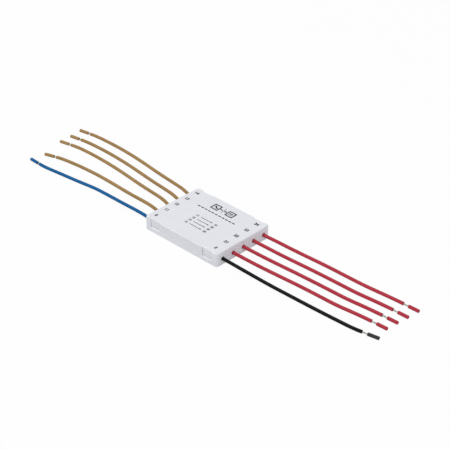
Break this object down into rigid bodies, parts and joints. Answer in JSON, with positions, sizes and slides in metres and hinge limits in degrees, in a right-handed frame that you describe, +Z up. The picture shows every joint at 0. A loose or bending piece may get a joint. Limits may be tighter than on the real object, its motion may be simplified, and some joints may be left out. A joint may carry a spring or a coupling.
{
  "type": "switch decoupler module",
  "caption": "Flat snap-together case with an opto-isolator board inside and coloured leads out of both ends, which separates wall-switch inputs from device inputs.",
  "frame": {"origin": "centre of the case's underside", "axes": "+X along the case from the input leads to the output leads, +Y from the neutral and ground leads to the fourth channel, +Z up through the lid"},
  "size_m": [0.2019, 0.0387, 0.0065],
  "materials": {
    "case_plastic": "satin",
    "board_laminate": "satin",
    "black_moulding": "matte",
    "chip_resistor": "satin",
    "chip_ceramic": "matte",
    "pad_metal": "satin",
    "solder": "satin",
    "tinned_conductor": "satin",
    "blue_insulation": "satin",
    "brown_insulation": "satin",
    "black_insulation": "satin",
    "red_insulation": "satin"
  },
  "bodies": {
    "module": {"base_tray": "case_plastic", "top_cover": "case_plastic", "circuit_board": "board_laminate", "series_resistors": "chip_resistor", "output_resistors": "chip_resistor", "rectifier_diodes": "black_moulding", "filter_capacitors": "chip_ceramic", "solder_pads": "pad_metal", "solder_joints": "solder", "optocoupler_1": "black_moulding", "optocoupler_2": "black_moulding", "optocoupler_3": "black_moulding", "optocoupler_4": "black_moulding", "blue_wire_insulation": "blue_insulation", "blue_wire_conductor": "tinned_conductor", "brown_wire_1_insulation": "brown_insulation", "brown_wire_1_conductor": "tinned_conductor", "brown_wire_2_insulation": "brown_insulation", "brown_wire_2_conductor": "tinned_conductor", "brown_wire_3_insulation": "brown_insulation", "brown_wire_3_conductor": "tinned_conductor", "brown_wire_4_insulation": "brown_insulation", "brown_wire_4_conductor": "tinned_conductor", "black_wire_insulation": "black_insulation", "black_wire_conductor": "tinned_conductor", "red_wire_1_insulation": "red_insulation", "red_wire_1_conductor": "tinned_conductor", "red_wire_2_insulation": "red_insulation", "red_wire_2_conductor": "tinned_conductor", "red_wire_3_insulation": "red_insulation", "red_wire_3_conductor": "tinned_conductor", "red_wire_4_insulation": "red_insulation", "red_wire_4_conductor": "tinned_conductor"},
    "blue_wire_slug": {"blue_wire_end_slug": "blue_insulation"},
    "brown_wire_1_slug": {"brown_wire_1_end_slug": "brown_insulation"},
    "brown_wire_2_slug": {"brown_wire_2_end_slug": "brown_insulation"},
    "brown_wire_3_slug": {"brown_wire_3_end_slug": "brown_insulation"},
    "brown_wire_4_slug": {"brown_wire_4_end_slug": "brown_insulation"},
    "black_wire_slug": {"black_wire_end_slug": "black_insulation"},
    "red_wire_1_slug": {"red_wire_1_end_slug": "red_insulation"},
    "red_wire_2_slug": {"red_wire_2_end_slug": "red_insulation"},
    "red_wire_3_slug": {"red_wire_3_end_slug": "red_insulation"},
    "red_wire_4_slug": {"red_wire_4_end_slug": "red_insulation"}
  },
  "joints": [
    {"name": "blue_wire_slug_pull", "type": "slide", "parent": "module", "child": "blue_wire_slug", "axis": [-0.9993, 0.037, 0], "range_m": [-0.00105, 0.0034]},
    {"name": "brown_wire_1_slug_pull", "type": "slide", "parent": "module", "child": "brown_wire_1_slug", "axis": [-0.9545, -0.2983, 0], "range_m": [-0.00105, 0.0034]},
    {"name": "brown_wire_2_slug_pull", "type": "slide", "parent": "module", "child": "brown_wire_2_slug", "axis": [-0.9783, -0.207, 0], "range_m": [-0.00105, 0.0034]},
    {"name": "brown_wire_3_slug_pull", "type": "slide", "parent": "module", "child": "brown_wire_3_slug", "axis": [-0.9842, -0.1772, 0], "range_m": [-0.00105, 0.0034]},
    {"name": "brown_wire_4_slug_pull", "type": "slide", "parent": "module", "child": "brown_wire_4_slug", "axis": [-0.985, -0.1728, 0], "range_m": [-0.00105, 0.0034]},
    {"name": "black_wire_slug_pull", "type": "slide", "parent": "module", "child": "black_wire_slug", "axis": [0.9827, 0.1851, 0], "range_m": [-0.00235, 0.0021]},
    {"name": "red_wire_1_slug_pull", "type": "slide", "parent": "module", "child": "red_wire_1_slug", "axis": [0.9988, 0.0483, 0], "range_m": [-0.00235, 0.0021]},
    {"name": "red_wire_2_slug_pull", "type": "slide", "parent": "module", "child": "red_wire_2_slug", "axis": [0.999, 0.0447, 0], "range_m": [-0.00235, 0.0021]},
    {"name": "red_wire_3_slug_pull", "type": "slide", "parent": "module", "child": "red_wire_3_slug", "axis": [0.9996, 0.0298, 0], "range_m": [-0.00235, 0.0021]},
    {"name": "red_wire_4_slug_pull", "type": "slide", "parent": "module", "child": "red_wire_4_slug", "axis": [0.9996, 0.029, 0], "range_m": [-0.00235, 0.0021]}
  ]
}
